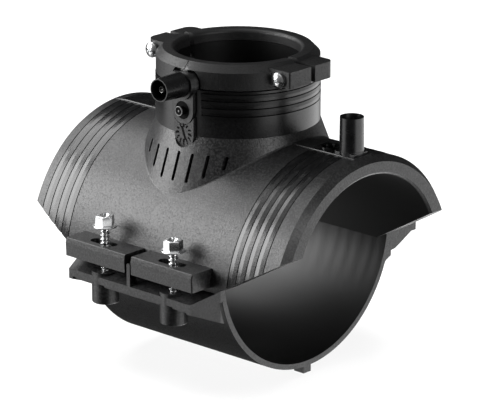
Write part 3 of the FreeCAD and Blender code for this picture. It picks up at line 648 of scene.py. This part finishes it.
# light levels
KEY_DIR, KEY_D, KEY_W, KEY_H, KEY_L = (-0.69, -0.65, 0.37), 0.55, 0.44, 0.33, 8.7
TOP_DIR, TOP_D, TOP_W, TOP_H, TOP_L = (-0.66, -0.125, 0.74), 0.45, 0.25, 0.22, 4.6
SIDE_DIR, SIDE_L = (0.93, -0.07, 0.34), 5.2
SUN = 1.8
HIGH, OVERHEAD = 0.10, 0.9
LEFT_LOW, REAR_LOW, UNDER, BACK_LOW = 1.8, 2.25, 0.06, 2.2
LEFT_MID, DARK_BACK = 0.9, 0.95
FILL_SUN = 3.4

# the floor is not mirrored in the gloss of the object: what the gloss sees
# below the horizon is the world's own pale lower half, dark towards the front
floor.visible_glossy = False
floor.visible_diffuse = False

world = bpy.data.worlds.new("studio")
scene.world = world
world.use_nodes = True
wt = world.node_tree
bg = wt.nodes.get("Background")
bg.inputs[0].default_value = (1, 1, 1, 1)


def wmath(op, a, b=0.0, clamp=False):
    n = wt.nodes.new("ShaderNodeMath")
    n.operation = op
    n.use_clamp = clamp
    for i, v in enumerate((a, b)):
        if hasattr(v, "node"):
            wt.links.new(v, n.inputs[i])
        else:
            n.inputs[i].default_value = v
    return n.outputs[0]


def wstep(v, lo, hi):
    n = wt.nodes.new("ShaderNodeMapRange")
    n.interpolation_type = "SMOOTHSTEP"
    n.inputs["From Min"].default_value = lo
    n.inputs["From Max"].default_value = hi
    wt.links.new(v, n.inputs["Value"])
    return n.outputs[0]


def wdot(vec, d):
    n = wt.nodes.new("ShaderNodeVectorMath")
    n.operation = "DOT_PRODUCT"
    wt.links.new(vec, n.inputs[0])
    n.inputs[1].default_value = tuple(Vector(d).normalized())
    return n.outputs["Value"]


wc = wt.nodes.new("ShaderNodeTexCoord")
ws = wt.nodes.new("ShaderNodeSeparateXYZ")
wt.links.new(wc.outputs["Generated"], ws.inputs[0])
ray = wc.outputs["Generated"]
above = wstep(ws.outputs[2], -0.24, -0.06)
left_low = wmath("MULTIPLY", wstep(wdot(ray, (-0.70, -0.62, -0.33)), 0.82, 0.97),
                 LEFT_LOW)
rear_low = wmath("MULTIPLY", wstep(wdot(ray, (0.65, 0.70, -0.30)), 0.35, 0.75),
                 REAR_LOW)
under = wmath("MULTIPLY", wstep(wdot(ray, (-0.40, 0.0, -0.92)), 0.55, 0.95), UNDER)
back_low = wmath("MULTIPLY", wstep(wdot(ray, (-0.30, 0.70, -0.65)), 0.95, 0.99),
                 BACK_LOW)
low = wmath("ADD", wmath("ADD", wmath("ADD", left_low, rear_low),
                         wmath("ADD", under, back_low)), 0.012)
overhead = wmath("MULTIPLY", wstep(wdot(ray, (0.05, -0.12, 0.99)), 0.72, 0.97),
                 OVERHEAD)
left_mid = wmath("MULTIPLY", wstep(wdot(ray, (-0.72, -0.42, 0.55)), 0.90, 0.98),
                 LEFT_MID)
dark_back = wmath("MULTIPLY", wstep(wdot(ray, (-0.648, 0.70, 0.28)), 0.80, 0.96),
                  DARK_BACK)
high = wmath("MULTIPLY", wmath("ADD", overhead, HIGH),
             wmath("SUBTRACT", 1.0, dark_back))
high = wmath("ADD", high, left_mid)
total = wmath("ADD", wmath("MULTIPLY", high, above),
              wmath("MULTIPLY", low, wmath("SUBTRACT", 1.0, above)))
wt.links.new(total, bg.inputs[1])
world.cycles.sampling_method = "NONE"
world.cycles_visibility.diffuse = False


def area(name, direction, dist, sx, sy, power, target=(0, 0, 0.02)):
    d = Vector(direction).normalized()
    ld = bpy.data.lights.new(name, "AREA")
    ld.shape = "RECTANGLE"
    ld.size = sx
    ld.size_y = sy
    ld.energy = power
    ob = bpy.data.objects.new(name, ld)
    scene.collection.objects.link(ob)
    ob.location = Vector(target) + d * dist
    ob.rotation_euler = (-d).to_track_quat("-Z", "Y").to_euler()
    ob.visible_camera = False
    return ob


def radiance(p, sx, sy):
    """power of a rectangular area light whose face has radiance p"""
    return p * math.pi * sx * sy


# broad key close by on the left front, a weaker one on the right
studio = [
    area("key_left", KEY_DIR, KEY_D, KEY_W, KEY_H,
         radiance(KEY_L, KEY_W, KEY_H)),
    area("top_left", TOP_DIR, TOP_D, TOP_W, TOP_H,
         radiance(TOP_L, TOP_W, TOP_H)),
    area("side_right", SIDE_DIR, 1.2, 0.55, 0.45,
         radiance(SIDE_L, 0.55, 0.45))]

# soft top light for the floor alone
sun = bpy.data.lights.new("top_sun", "SUN")
sun.energy = SUN
sun.angle = math.radians(60)
so = bpy.data.objects.new("top_sun", sun)
scene.collection.objects.link(so)
so.rotation_euler = (math.radians(4), math.radians(-4), 0)
only_floor = bpy.data.collections.new("floor_only")
only_floor.objects.link(floor)
so.light_linking.receiver_collection = only_floor

# and a fill that keeps the shadow on the floor pale
fill = bpy.data.lights.new("floor_fill", "SUN")
fill.energy = FILL_SUN
fill.angle = math.radians(30)
fo = bpy.data.objects.new("floor_fill", fill)
scene.collection.objects.link(fo)
fo.light_linking.receiver_collection = only_floor
fo.light_linking.blocker_collection = only_floor
not_floor = bpy.data.collections.new("all_but_floor")
not_floor.objects.link(floor)
not_floor.collection_objects[0].light_linking.link_state = "EXCLUDE"
for lamp in studio:
    lamp.light_linking.receiver_collection = not_floor

# ------------------------------------------------------------------ the camera
AZ, EL, F_PX = math.radians(42.79), math.radians(17.54), 3489.81
C = Vector((1.36389, -1.47169, 0.66022))
right = Vector((math.cos(AZ), math.sin(AZ), 0))
up = Vector((-math.sin(AZ) * math.sin(EL), math.cos(AZ) * math.sin(EL),
             math.cos(EL)))
back = Vector((math.sin(AZ) * math.cos(EL), -math.cos(AZ) * math.cos(EL),
               math.sin(EL)))
cd = bpy.data.cameras.new("camera")
cd.sensor_fit = "HORIZONTAL"
cd.sensor_width = 36.0
cd.lens = F_PX * 36.0 / 480.0
cd.clip_start = 0.05
cd.clip_end = 60.0
cam = bpy.data.objects.new("camera", cd)
scene.collection.objects.link(cam)
m = Matrix((right, up, back)).transposed().to_4x4()
m.translation = C
cam.matrix_world = m
scene.camera = cam

scene.view_settings.view_transform = "Standard"
scene.view_settings.look = "None"
